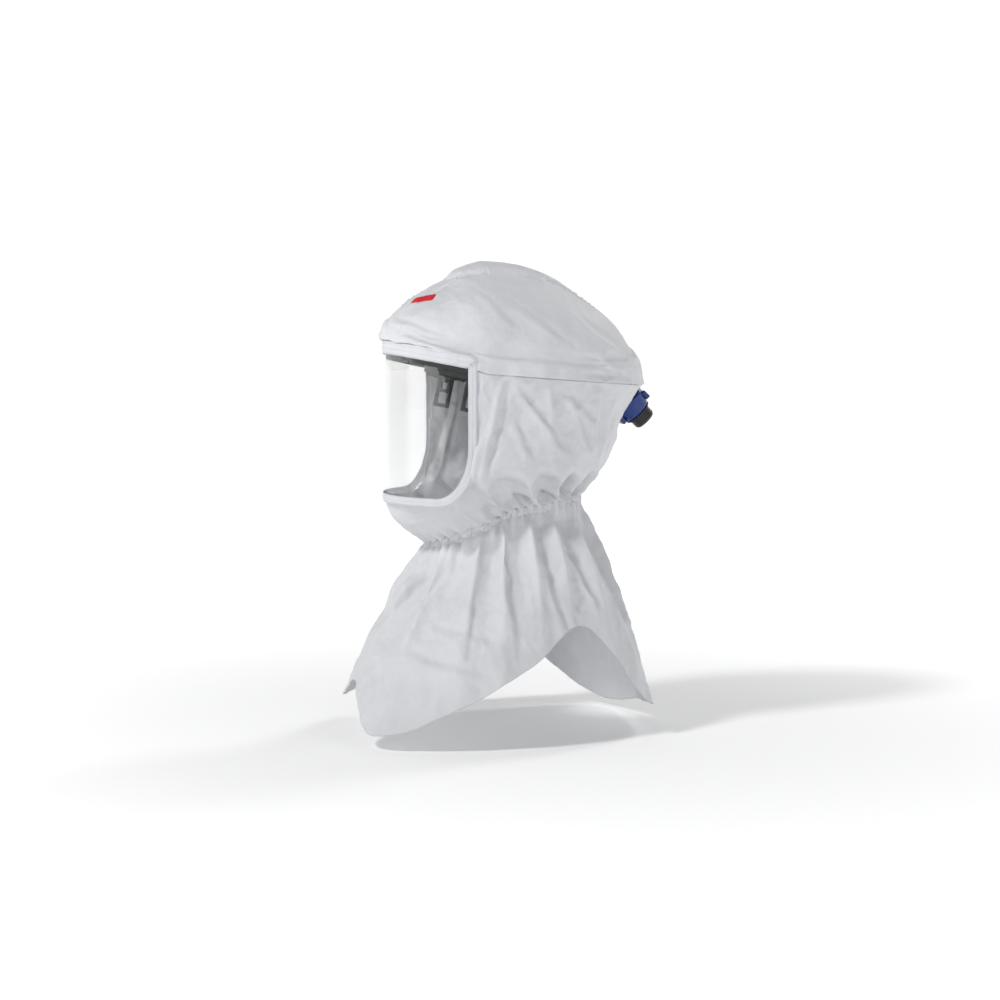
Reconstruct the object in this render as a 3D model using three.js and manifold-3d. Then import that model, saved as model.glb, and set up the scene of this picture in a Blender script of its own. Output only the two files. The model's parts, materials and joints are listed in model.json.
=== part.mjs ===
// A loose-fitting hood headtop of a powered air respirator.
// Millimetres, +Z up, -Y is the way the wearer looks, +X is the wearer's left.
// The origin is the centre of the headband, where the wearer's head holds the part.
import * as THREE from 'three';
import { mergeVertices } from 'three/addons/utils/BufferGeometryUtils.js';
import { ParametricGeometry } from 'three/addons/geometries/ParametricGeometry.js';
import { LoftGeometry } from 'three/addons/geometries/LoftGeometry.js';
import { RoundedBoxGeometry } from 'three/addons/geometries/RoundedBoxGeometry.js';
import Module from 'manifold-3d';

const wasm = await Module();
wasm.setup();

// ---------------------------------------------------------------- driving dimensions
const GAP = 0.3;                        // clearance between pieces that touch
const TILT = THREE.MathUtils.degToRad(12);      // the headband is worn front high
const FABRIC = 1.2;                     // thickness of the fabric shells
const ROUND = 48;                       // steps around a fabric ring
const BACK_FULLNESS = 0.8;              // 1 is an ellipse behind the ears, less is squarer

const LENS_HALF_WIDTH = 112;            // the lens is bent to half an ellipse in plan
const LENS_CENTRE_Y = -50;
const LENS_THICK = 1;
const LENS_TOP_FRONT = 38.5;
const LENS_TOP_FALL = 0.204;            // the top edge drops this much per mm going back
const LENS_BOTTOM = -143;
const LENS_SIDE_Y = -67;
const BORDER_WIDE = 10;
const BORDER_LAP = 4;

const BAND_X = 80;                      // headband half width and half length
const BAND_Y = 100;
const BAND_THICK = 2;
const BAND_TALL = 18;

const NECK = { front: [-95, -203], side: [78, 0, -157], back: [93, -147] };
const HEM_BASE = { front: [-222, -415], side: [212, -10, -415], back: [192, -415] };
// height of the skirt's hem every 30 degrees, from the front round by the wearer's left
const HEM = [-378, -418, -383, -333, -292, -386, -408, -421, -360, -325, -360, -400];

const DUCT_HALF = 30;                   // half width of the air duct at the front
const DUCT_TAPER = 10;                  // how much narrower it is at the inlet, each side
const DUCT_WALL = 2;
const DUCT_DEEP = 10;                   // depth of each half

const INLET_AT = [0, 160.5, -27];       // where the air inlet goes through the fabric
const INLET_TURN = THREE.MathUtils.degToRad(-133.8);
const INLET_BORE = 12;
const FLANGE_R = 24;

const NAPE_AT = [0, 112, -36];          // ratchet unit, in the tilted headband's frame
const RACK_REACH = 46;
const RACK_TAIL = 14;
const PINION_PITCH = 5;
const KNOB_R = 17;

// ---------------------------------------------------------------- materials
const paint = (color, roughness, metalness = 0, more = {}) =>
  new THREE.MeshStandardMaterial({ color, roughness, metalness, ...more });
const whiteFabric = paint(0xe6e8ee, 0.75);
const borderFilm = paint(0xcfd2d6, 0.45);
const clearFilm = paint(0xf2f6f8, 0.08, 0, { transparent: true, opacity: 0.3 });
const blackPlastic = paint(0x17181a, 0.45);
const greyPlastic = paint(0x8f949b, 0.5);
const bluePlastic = paint(0x11187a, 0.4);
const darkPlastic = paint(0x2b2d31, 0.5);
const paleFoam = paint(0x3a3c40, 0.95);
const rubber = paint(0x1b1b1c, 0.8);
const redFilm = paint(0xc3131b, 0.5);
const steel = paint(0xb9bcc0, 0.3, 0.9);

// ---------------------------------------------------------------- solids
// Shared corners are merged, flat triangles dropped and the faces turned outward.
function closed(geometry) {
  const bare = new THREE.BufferGeometry();
  bare.setAttribute('position', geometry.getAttribute('position').clone());
  if (geometry.index) bare.setIndex(geometry.index.clone());
  const welded = mergeVertices(bare, 1e-3);
  const corners = welded.getAttribute('position');
  const old = welded.index.array;
  const kept = [];
  let volume = 0;
  const [a, b, c] = [new THREE.Vector3(), new THREE.Vector3(), new THREE.Vector3()];
  for (let i = 0; i < old.length; i += 3) {
    const three = [old[i], old[i + 1], old[i + 2]];
    if (new Set(three).size < 3) continue;
    kept.push(...three);
    a.fromBufferAttribute(corners, three[0]);
    b.fromBufferAttribute(corners, three[1]);
    c.fromBufferAttribute(corners, three[2]);
    volume += a.dot(b.cross(c));
  }
  if (volume < 0) {
    for (let i = 0; i < kept.length; i += 3) [kept[i], kept[i + 1]] = [kept[i + 1], kept[i]];
  }
  welded.setIndex(kept);
  return welded;
}

function solid(geometry, matrix = new THREE.Matrix4()) {
  const placed = closed(geometry.clone().applyMatrix4(matrix));
  const vertProperties = new Float32Array(placed.getAttribute('position').array);
  const triVerts = new Uint32Array(placed.index.array);
  return new wasm.Manifold(new wasm.Mesh({ numProp: 3, vertProperties, triVerts }));
}

function shape(manifold) {
  const mesh = manifold.getMesh();
  const geometry = new THREE.BufferGeometry();
  geometry.setAttribute('position', new THREE.BufferAttribute(mesh.vertProperties, 3));
  geometry.setIndex(new THREE.BufferAttribute(mesh.triVerts, 1));
  return geometry;
}

const cut = (body, ...tools) => shape(tools.reduce((left, tool) => left.subtract(tool), body));
const moved = (x, y, z) => new THREE.Matrix4().makeTranslation(x, y, z);
const block = (x, y, z, at = [0, 0, 0]) => solid(new THREE.BoxGeometry(x, y, z), moved(...at));

// A cylinder from z0 to z1 on the Z axis.
function rod(radius, z0, z1, sides = 24) {
  const turned = new THREE.CylinderGeometry(radius, radius, z1 - z0, sides);
  return turned.rotateX(Math.PI / 2).translate(0, 0, (z0 + z1) / 2);
}

// A solid of revolution about Z from [radius, height] pairs.
function turned(profile, sides = 32) {
  const points = profile.map(([r, z]) => new THREE.Vector2(r, z));
  return new THREE.LatheGeometry(points, sides).rotateX(Math.PI / 2);
}

// A flat outline of [x, y] corners, extruded along Z.
function prism(corners, depth) {
  const outline = new THREE.Shape(corners.map(([x, y]) => new THREE.Vector2(x, y)));
  return new THREE.ExtrudeGeometry(outline, { depth, bevelEnabled: false });
}

// A solid through flat sections, each turned counterclockwise as seen from the far end.
function loft(sections) {
  const [first, next] = sections;
  const twist = new THREE.Vector3();
  first.forEach((point, i) => {
    const after = first[(i + 1) % first.length].clone().sub(first[0]);
    twist.add(point.clone().sub(first[0]).cross(after));
  });
  const forward = next[0].clone().sub(first[0]);
  const ordered = twist.dot(forward) > 0 ? sections : sections.map((section) => section.toReversed());
  return closed(new LoftGeometry(ordered, { capStart: true, capEnd: true }));
}

// ---------------------------------------------------------------- fabric surfaces
// A ring is given by its front, side and back points. Angle 0 is the front.
function ringPoint(ring, angle) {
  const [width, middle, sideHeight] = ring.side;
  const forward = Math.cos(angle);
  const [endY, endZ] = forward > 0 ? ring.front : ring.back;
  const reach = Math.abs(forward);
  const across = Math.sin(angle);
  const fullness = forward > 0 ? 1 : BACK_FULLNESS;
  return new THREE.Vector3(
    width * Math.sign(across) * Math.abs(across) ** fullness,
    middle + (endY - middle) * reach,
    sideHeight + (endZ - sideHeight) * reach,
  );
}

function throughRings(rings) {
  return (angle, down) => {
    const line = new THREE.CatmullRomCurve3(rings.map((ring) => ringPoint(ring, angle)));
    return line.getPoint(down);
  };
}

function inward(surface, angle, down, depth) {
  const step = 1e-3;
  const at = surface(angle, down);
  const around = surface(angle + step, down).sub(surface(angle - step, down));
  const low = Math.max(down - step, 0);
  const high = Math.min(down + step, 1);
  const along = surface(angle, high).sub(surface(angle, low));
  const normal = around.cross(along).normalize();
  return at.addScaledVector(normal, depth);
}

// A fabric shell between two offsets below a surface. It is open at both ends,
// or closed over the top where the surface starts at a pole.
function shell(surface, outside, inside, steps, pole = false) {
  const rows = pole ? 2 * steps + 1 : 2 * steps + 2;
  const at = (u, v, target) => {
    const row = Math.round(v * rows);
    const outer = row <= steps || row === 2 * steps + 2;
    const down = outer ? (row % (2 * steps + 2)) / steps : (2 * steps + 1 - row) / steps;
    const angle = Math.round((u % 1) * ROUND) / ROUND * 2 * Math.PI;
    if (pole && down === 0) target.copy(surface(0, 0)).setZ(surface(0, 0).z - (outer ? outside : inside));
    else target.copy(inward(surface, angle, down, outer ? outside : inside));
  };
  return closed(new ParametricGeometry(at, ROUND, rows));
}

const seam = { front: [-149.5, 47], side: [LENS_HALF_WIDTH, LENS_CENTRE_Y, 12], back: [176, -6] };
const seamAbove = { front: [-149.5, 48], side: [LENS_HALF_WIDTH, LENS_CENTRE_Y, 13], back: [176, -2] };
const pole = { front: [-28, 147], side: [0, -28, 147], back: [-28, 147] };

const crownSurface = throughRings([
  pole,
  { front: [-50, 141], side: [20, -28, 145], back: [20, 142] },
  { front: [-75, 131], side: [46, -30, 138], back: [72, 126] },
  { front: [-100, 117], side: [72, -32, 120], back: [115, 98] },
  { front: [-127, 100], side: [92, -35, 98], back: [139, 77] },
  { front: [-150, 78], side: [106, -40, 70], back: [158, 50] },
  { front: [-153.5, 62], side: [111, -45, 40], back: [174, 22] },
  seamAbove,
]);

const capeSurface = throughRings([
  seam,
  { front: [-149.5, -20], side: [112, -48, -30], back: [151, -41] },
  { front: [-149.5, -90], side: [112, -46, -75], back: [138, -78] },
  { front: [-148, -146], side: [108, -42, -115], back: [118, -110] },
  { front: [-136, -173], side: [94, -25, -140], back: [104, -130] },
  { front: [-101, -198], side: [82, -3, -152], back: [96, -142] },
]);

const hemCurve = new THREE.CatmullRomCurve3(HEM.map((height, i) => {
  const angle = i / HEM.length * 2 * Math.PI;
  return new THREE.Vector3(Math.sin(angle), Math.cos(angle), height);
}), true, 'catmullrom');

function skirtSurface(angle, down) {
  const top = ringPoint(NECK, angle);
  const base = ringPoint(HEM_BASE, angle);
  const share = ((angle / (2 * Math.PI)) % 1 + 1) % 1;
  const reach = (top.z - hemCurve.getPoint(share).z) / (top.z - base.z);
  const point = top.lerp(base, 0.03 + (reach - 0.03) * down);
  const bulge = 10 * Math.sin(Math.PI * down);
  return point.add(new THREE.Vector3(bulge * Math.sin(angle), -bulge * Math.cos(angle), 0));
}

const lensSurface = throughRings([
  { front: [-149, 60], side: [LENS_HALF_WIDTH, LENS_CENTRE_Y, 60], back: [49, 60] },
  { front: [-149, -45], side: [LENS_HALF_WIDTH, LENS_CENTRE_Y, -45], back: [49, -45] },
  { front: [-149, -165], side: [LENS_HALF_WIDTH, LENS_CENTRE_Y, -165], back: [49, -165] },
]);

// The lens outline seen from the side, grown by a margin, as a solid right across X.
function lensCutter(margin, above = margin, behind = margin) {
  const edge = LENS_SIDE_Y + behind;
  const top = (y) => LENS_TOP_FRONT + above - LENS_TOP_FALL * (y + 149);
  const outline = new THREE.Shape();
  outline.moveTo(-200, top(-200));
  outline.lineTo(edge, top(edge));
  outline.lineTo(edge, -76);
  outline.bezierCurveTo(edge, -114, edge - 18, LENS_BOTTOM - margin, edge - 46, LENS_BOTTOM - margin);
  outline.lineTo(-200, LENS_BOTTOM - margin);
  const across = new THREE.ExtrudeGeometry(outline, { depth: 300, bevelEnabled: false, curveSegments: 8 });
  const turn = new THREE.Matrix4().makeBasis(
    new THREE.Vector3(0, 1, 0), new THREE.Vector3(0, 0, 1), new THREE.Vector3(1, 0, 0));
  return solid(across, turn.setPosition(-150, 0, 0));
}

const inletPlace = new THREE.Matrix4().makeRotationX(INLET_TURN).setPosition(...INLET_AT);
const inletHole = solid(rod(FLANGE_R + 1.5, -30, 30, 24), inletPlace);
const border = lensCutter(BORDER_WIDE);
const aroundBorder = lensCutter(BORDER_WIDE + GAP);

function hoodCrown() {
  return cut(solid(shell(crownSurface, 0, FABRIC, 9, true)), aroundBorder, inletHole);
}

function hoodCape() {
  return cut(solid(shell(capeSurface, 0, FABRIC, 9)), aroundBorder, inletHole);
}

function hoodSkirt() {
  return shell(skirtSurface, 0, FABRIC, 7);
}

function visorLens() {
  const band = solid(shell(lensSurface, LENS_THICK, 2 * LENS_THICK, 4));
  return shape(band.intersect(lensCutter(0)));
}

function lensBorder() {
  const band = solid(shell(lensSurface, -FABRIC / 2, LENS_THICK - GAP, 4));
  return shape(band.intersect(border).subtract(lensCutter(-BORDER_LAP)));
}

// The elastic band lies in the gather between the cape and the skirt.
function neckElastic() {
  const path = new THREE.CatmullRomCurve3(Array.from({ length: 16 }, (_, i) => {
    const middle = ringPoint(NECK, i / 16 * 2 * Math.PI);
    return new THREE.Vector3(middle.x * 0.99 - Math.sign(middle.x) * 1, middle.y * 0.99, middle.z + 1.2);
  }), true);
  const section = new THREE.Shape();
  section.absellipse(0, 0, 1.4, 1.4, 0, 2 * Math.PI);
  return closed(new THREE.ExtrudeGeometry(section, { steps: ROUND, curveSegments: 4, extrudePath: path }));
}

// A plain badge that follows the front slope of the crown, a little to the wearer's left.
function browPatch() {
  const skin = solid(shell(crownSurface, -GAP - 1.2, -GAP, 9, true));
  const slope = new THREE.Matrix4().makeRotationX(THREE.MathUtils.degToRad(36));
  const across = new THREE.Matrix4().makeRotationZ(THREE.MathUtils.degToRad(25)).multiply(slope)
    .setPosition(35, -114, 105);
  return shape(skin.intersect(solid(new RoundedBoxGeometry(40, 14, 30, 2, 3), across)));
}

// ---------------------------------------------------------------- lens bow and brackets
function frontBow() {
  const band = solid(shell(lensSurface, 3 * LENS_THICK, 6 * LENS_THICK, 2));
  const tall = lensCutter(-1.5, -1.5, 8).subtract(lensCutter(-1.5, -10.5, 20));
  const holes = [1, -1].map((side) => solid(rod(1.9, -14, 6, 16), rivetPlace(side)));
  return cut(band.intersect(tall), ...holes);
}

const LUG_ANGLE = THREE.MathUtils.degToRad(60);
// A frame on the headband at the lug: x points outward, y backward and z up.
function lugPlace(side) {
  const group = new THREE.Group();
  const out = Math.atan2(-BAND_X * Math.cos(LUG_ANGLE), BAND_Y * Math.sin(LUG_ANGLE));
  group.position.set(side * BAND_X * Math.sin(LUG_ANGLE), -BAND_Y * Math.cos(LUG_ANGLE), 0);
  group.rotation.z = side > 0 ? out : Math.PI - out;
  return group;
}

const PLATE_AT = 6;
const PLATE_THICK = 2;
const SLOT_TALL = 31;
const SLOT_WIDE = 8;
const ARM_REACH = 35.5;
const ARM_TOP = 12.2;
const LUG_Z = -9;
const RIVET_AT = [PLATE_AT + ARM_REACH - 2.2, 0, ARM_TOP - 1.5];

// The slotted bracket: a flat plate beside the headband and an arm out to the bow.
function templeBracket() {
  const plate = block(PLATE_THICK, 25, 60, [PLATE_AT + 1, 0, ARM_TOP - 30]);
  const arm = block(ARM_REACH, 8, 3, [PLATE_AT + ARM_REACH / 2, 0, ARM_TOP - 1.5]);
  const slot = block(10, SLOT_WIDE, SLOT_TALL, [PLATE_AT, 0, LUG_Z]);
  const window = block(10, 14, 14, [PLATE_AT, 0, -36]);
  const hole = solid(rod(1.9, -20, 40, 16), moved(...RIVET_AT));
  return cut(plate.add(arm), slot, window, hole);
}

function lug() {
  const foot = block(PLATE_AT - 2 * GAP - 0.8, 14, 14, [(PLATE_AT + 0.8) / 2, 0, LUG_Z]);
  const stem = block(PLATE_THICK + 2, SLOT_WIDE - 1, 9, [PLATE_AT + 1, 0, LUG_Z]);
  return shape(foot.add(stem));
}

function lugCap() {
  const cap = new RoundedBoxGeometry(2, 14, 15.6, 2, 0.7);
  return cap.translate(PLATE_AT + PLATE_THICK + 2 + GAP, 0, LUG_Z);
}

function bowRivet() {
  return turned([[0, -9], [1.5, -8.5], [1.5, 1.8], [2.4, 1.8], [2.4, 2.6], [0, 3.4]], 16);
}

// Where a bow rivet stands, in the part's own frame.
function rivetPlace(side) {
  const tilted = new THREE.Group();
  tilted.rotation.x = -TILT;
  const place = lugPlace(side);
  tilted.add(place);
  tilted.updateMatrixWorld(true);
  return place.matrixWorld.clone().multiply(moved(...RIVET_AT));
}

// ---------------------------------------------------------------- harness
function bandShape(outsideX, outsideY, thick, sweep) {
  const start = -Math.PI / 2 - sweep;
  const end = -Math.PI / 2 + sweep;
  const outline = new THREE.Shape();
  outline.absellipse(0, 0, outsideX, outsideY, start, end, false);
  outline.absellipse(0, 0, outsideX - thick, outsideY - thick, end, start, true);
  return outline;
}

function band(outsideX, outsideY, thick, sweep, tall) {
  const outline = bandShape(outsideX, outsideY, thick, THREE.MathUtils.degToRad(sweep));
  const strip = new THREE.ExtrudeGeometry(outline, { depth: tall, bevelEnabled: false, curveSegments: 24 });
  return strip.translate(0, 0, -tall / 2);
}

// A flat strap of a given width along a route.
function strap(route, wide, thick, across) {
  const line = new THREE.CatmullRomCurve3(route.map((point) => new THREE.Vector3(...point)));
  const sections = [];
  const steps = 8;
  for (let i = 0; i <= steps; i++) {
    const at = line.getPoint(i / steps);
    const along = line.getTangent(i / steps);
    const side = across.clone().addScaledVector(along, -across.dot(along)).normalize();
    const up = new THREE.Vector3().crossVectors(along, side);
    sections.push([[1, 1], [-1, 1], [-1, -1], [1, -1]].map(([s, u]) =>
      at.clone().addScaledVector(side, s * wide / 2).addScaledVector(up, u * thick / 2)));
  }
  return loft(sections);
}

function strapClip(side) {
  const body = block(7, 24, 14, [side * (BAND_X - 1), 0, 11]);
  const slot = block(3.6, 30, 12, [side * (BAND_X - 1.2), 0, BAND_TALL / 2 + GAP - 6]);
  return cut(body, slot);
}

const strapLeg = (side) => strap(
  [[side * 79, 0, 18.5], [side * 76, -1, 42], [side * 62, -3, 68], [side * 38, -5, 83.5]],
  20, 1.6, new THREE.Vector3(0, 1, 0));

function crownPad() {
  const outline = new THREE.Shape();
  outline.absarc(0, 0, 90.5, Math.PI / 2 - 0.38, Math.PI / 2 + 0.38, false);
  outline.absarc(0, 0, 85, Math.PI / 2 + 0.38, Math.PI / 2 - 0.38, true);
  const arch = new THREE.ExtrudeGeometry(outline, { depth: 46, bevelEnabled: false, curveSegments: 8 });
  return arch.rotateX(Math.PI / 2).translate(0, 18, 2);
}

const rearArm = (side) => strap(
  [[side * 74.4, 38, 0], [side * 72.5, 62, -9], [side * 66, 88, -21], [side * 58, 104, -31],
    [side * (RACK_REACH + 2), 113.2, -35]],
  12, 1.8, new THREE.Vector3(0, 0, 1));

// ---------------------------------------------------------------- ratchet unit at the nape
// In its own frame: x to the wearer's left, y backward along the knob's axis, z up.
function ratchetHousing() {
  const tray = solid(new RoundedBoxGeometry(60, 8, 32, 2, 1.5), moved(0, 1, 0));
  const inside = block(56, 8, 24, [0, 3, 0]);
  const slots = block(80, 3.4, 20, [0, 1.6, 0]);
  return cut(tray, inside, slots);
}

function ratchetCover() {
  const lid = block(60, 2, 32, [0, 5 + GAP + 1, 0]);
  const hole = solid(rod(3.4, -20, 20, 20).rotateX(-Math.PI / 2));
  return cut(lid, hole);
}

function rack(side) {
  const teeth = 16;
  const pitch = (RACK_REACH + RACK_TAIL - 14) / teeth;
  const inner = PINION_PITCH;
  const corners = [[-RACK_TAIL, inner + 4.5]];
  for (let i = 0; i < teeth; i++) {
    corners.push([-RACK_TAIL + i * pitch, inner + 1.2], [-RACK_TAIL + (i + 0.5) * pitch, inner]);
  }
  corners.push([RACK_REACH - 14, inner + 1.2]);
  corners.push([RACK_REACH - GAP, inner + 1.2], [RACK_REACH - GAP, inner + 4.5]);
  const bar = prism(corners, 2.4).rotateX(Math.PI / 2).translate(0, 2.8, 0);
  return side > 0 ? bar : bar.rotateY(Math.PI);
}

function pinion() {
  const teeth = 10;
  const corners = [];
  for (let i = 0; i < 2 * teeth; i++) {
    const angle = i / teeth * Math.PI;
    const radius = i % 2 ? 3.9 : PINION_PITCH - GAP;
    corners.push([radius * Math.cos(angle), radius * Math.sin(angle)]);
  }
  const gear = solid(prism(corners, 2.4).rotateX(Math.PI / 2).translate(0, 2.8, 0));
  return cut(gear, solid(rod(2.3, -5, 5, 16).rotateX(-Math.PI / 2)));
}

function ratchetKnob() {
  const ribs = 20;
  const outline = new THREE.Shape(Array.from({ length: 2 * ribs }, (_, i) => {
    const radius = i % 2 ? KNOB_R : KNOB_R - 1.2;
    const angle = i / ribs * Math.PI;
    return new THREE.Vector2(radius * Math.cos(angle), radius * Math.sin(angle));
  }));
  const bevel = { depth: 9, bevelThickness: 1.5, bevelSize: 1.2, bevelOffset: -1.2, bevelSegments: 1 };
  const grip = solid(new THREE.ExtrudeGeometry(outline, bevel).rotateX(-Math.PI / 2).translate(0, 9.4, 0));
  const shaft = solid(rod(3, 3.2, 10, 16).rotateX(-Math.PI / 2));
  const tip = solid(rod(2, 0.2, 4, 16).rotateX(-Math.PI / 2));
  return shape(grip.add(shaft).add(tip));
}

// ---------------------------------------------------------------- air duct
const ductLine = new THREE.CatmullRomCurve3([
  [0, -122, 68], [0, -98, 95], [0, -62, 114], [0, -15, 122.5], [0, 35, 117], [0, 78, 98],
  [0, 108, 66], [0, 122, 30], [0, 134, 3], [0, 147.5, -14]].map((p) => new THREE.Vector3(...p)));

// Each half of the duct is a channel: u is across and v is out from the head.
function channel(corners) {
  const sections = [];
  const steps = 18;
  for (let i = 0; i <= steps; i++) {
    const at = ductLine.getPoint(i / steps);
    const along = ductLine.getTangent(i / steps);
    const out = new THREE.Vector3(0, -along.z, along.y);
    const narrow = 1 - DUCT_TAPER / DUCT_HALF * (i / steps);
    sections.push(corners.map(([u, v]) =>
      at.clone().add(new THREE.Vector3(u * narrow, 0, 0)).addScaledVector(out, v)));
  }
  return loft(sections);
}

function channelCorners(seamAt, floorAt) {
  const inside = floorAt + (seamAt > floorAt ? DUCT_WALL : -DUCT_WALL);
  const wall = DUCT_HALF - DUCT_WALL;
  return [[-DUCT_HALF, seamAt], [-DUCT_HALF, floorAt], [DUCT_HALF, floorAt], [DUCT_HALF, seamAt],
    [wall, seamAt], [wall, inside], [-wall, inside], [-wall, seamAt]];
}

const HINGE_Y = -117.5;
const HINGE_Z = 56.5;

function ductBase() {
  const tray = solid(channel(channelCorners(-GAP / 2, -DUCT_DEEP)));
  const ears = [-1, 1].map((side) => {
    const ear = block(2, 9, 12, [side * (DUCT_HALF - 1), HINGE_Y + 1.5, HINGE_Z + 2]);
    return cutEar(ear);
  });
  return shape(tray.add(ears[0]).add(ears[1]));
}

function cutEar(ear) {
  return ear.subtract(solid(rod(1.8, -40, 40, 16).rotateY(Math.PI / 2).translate(0, HINGE_Y, HINGE_Z)));
}

const ductLid = () => channel(channelCorners(GAP / 2, DUCT_DEEP));

// The flap that aims the air: a plate with a pin at each end, about its own hinge line.
function airDeflector() {
  const plate = block(2 * DUCT_HALF - 5, 17, 1.6, [0, -7.5, 0]);
  const pin = solid(rod(1.5, -DUCT_HALF + 0.2, DUCT_HALF - 0.2, 16).rotateY(Math.PI / 2));
  return shape(plate.add(pin));
}

// ---------------------------------------------------------------- air inlet
// In its own frame: z points out of the hood along the inlet's axis.
function inletHousing() {
  const body = solid(turned([
    [INLET_BORE, -12], [17, -12], [17, 0], [FLANGE_R, 0], [FLANGE_R, 3], [21.5, 4.5],
    [20, 17], [18, 20], [15.5, 20], [15.5, 6], [INLET_BORE, 6], [INLET_BORE, -12]], 32));
  const windows = [-1, 1].map((side) => block(18.6, 14, 11.6, [0, side * 20, 12]));
  return cut(body, ...windows);
}

function clampRing() {
  return turned([[17.3, -8], [23, -8], [23.6, -7], [23.6, -4.6], [17.3, -4.6], [17.3, -8]], 32);
}

function inletSeal() {
  return turned([[16.2, 20.6], [18.4, 20.6], [18.4, 22], [16.2, 22], [16.2, 20.6]], 28);
}

// A push button in the housing's wall, with a finger pad outside.
function releaseTab(side) {
  const pad = solid(new RoundedBoxGeometry(18, 6.4, 11, 2, 1.4), moved(0, side * 21.6, 12));
  const tooth = block(10, 2, 5, [0, side * 17.6, 12]);
  return shape(pad.add(tooth));
}

function swivelCollar() {
  const profile = [[9.5, 7], [12, 7], [12, 20], [15.8, 22.6], [15.8, 24.4]];
  for (let i = 0; i < 3; i++) {
    profile.push([13.6, 25 + 3.2 * i], [14.6, 26 + 3.2 * i], [14.6, 27.6 + 3.2 * i]);
  }
  profile.push([13.4, 34.4], [13.4, 36], [9.5, 36], [9.5, 7]);
  return turned(profile, 32);
}

// ---------------------------------------------------------------- assembly
const part = new THREE.Group();
const harness = new THREE.Group();
harness.rotation.x = -TILT;
const nape = new THREE.Group();
nape.position.set(...NAPE_AT);
harness.add(nape);
const inlet = new THREE.Group();
inlet.position.set(...INLET_AT);
inlet.rotation.x = INLET_TURN;
part.add(harness, inlet);

function add(name, geometry, material, parent = part) {
  const mesh = new THREE.Mesh(closed(geometry), material);
  mesh.name = name;
  parent.add(mesh);
  return mesh;
}

add('hood_crown', hoodCrown(), whiteFabric);
add('hood_cape', hoodCape(), whiteFabric);
add('hood_skirt', hoodSkirt(), whiteFabric);
add('neck_elastic', neckElastic(), whiteFabric);
add('visor_lens', visorLens(), clearFilm);
add('lens_border', lensBorder(), borderFilm);
add('brow_patch', browPatch(), redFilm);

add('front_bow', frontBow(), blackPlastic);
add('duct_base', ductBase(), greyPlastic);
add('duct_lid', ductLid(), greyPlastic);
const deflector = add('air_deflector', airDeflector(), blackPlastic);
deflector.position.set(0, HINGE_Y, HINGE_Z);
deflector.rotation.x = THREE.MathUtils.degToRad(48);

add('headband_front', band(BAND_X, BAND_Y, BAND_THICK, 110, BAND_TALL), blackPlastic, harness);
add('brow_pad', band(BAND_X - 2.4, BAND_Y - 2.4, 5, 50, 28), paleFoam, harness);
add('crown_pad', crownPad(), paleFoam, harness);

for (const [name, side] of [['left', 1], ['right', -1]]) {
  add(`strap_clip_${name}`, strapClip(side), blackPlastic, harness);
  add(`strap_leg_${name}`, strapLeg(side), blackPlastic, harness);
  add(`rear_arm_${name}`, rearArm(side), blackPlastic, harness);
  const place = lugPlace(side);
  harness.add(place);
  add(`temple_bracket_${name}`, templeBracket(), blackPlastic, place);
  add(`lug_${name}`, lug(), blackPlastic, place);
  add(`lug_cap_${name}`, lugCap(), steel, place);
  const rivet = add(`bow_rivet_${name}`, bowRivet(), steel, place);
  rivet.position.set(...RIVET_AT);
  add(`rack_${name}`, rack(side), darkPlastic, nape);
}

add('ratchet_housing', ratchetHousing(), blackPlastic, nape);
add('ratchet_cover', ratchetCover(), blackPlastic, nape);
add('nape_pad', new RoundedBoxGeometry(72, 6, 36, 2, 2.5).translate(0, -6.6, 0), paleFoam, nape);
add('ratchet_pinion', pinion(), greyPlastic, nape);
add('ratchet_knob', ratchetKnob(), darkPlastic, nape);

add('inlet_housing', inletHousing(), bluePlastic, inlet);
add('inlet_clamp_ring', clampRing(), darkPlastic, inlet);
add('inlet_seal', inletSeal(), rubber, inlet);
add('release_tab_upper', releaseTab(-1), bluePlastic, inlet);
add('release_tab_lower', releaseTab(1), bluePlastic, inlet);
add('swivel_collar', swivelCollar(), darkPlastic, inlet);

export default part;
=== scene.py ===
# %% [markdown]
# # The headtop of a powered air respirator
#
# A white nonwoven hood hangs from a plastic frame. A clear visor is bound into its face, an elastic
# band gathers it round the neck, and a wide skirt covers the shoulders. Inside, a harness grips the head
# and a duct brings air from the inlet at the back over the crown to the brow.
#
# The rigid pieces come packed from CAD as a frame. Everything soft is made here, around that frame.

# %% Load the frame
import json
import math

import bmesh
import bpy
import numpy as np
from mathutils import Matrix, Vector, noise
from mathutils.bvhtree import BVHTree


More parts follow.
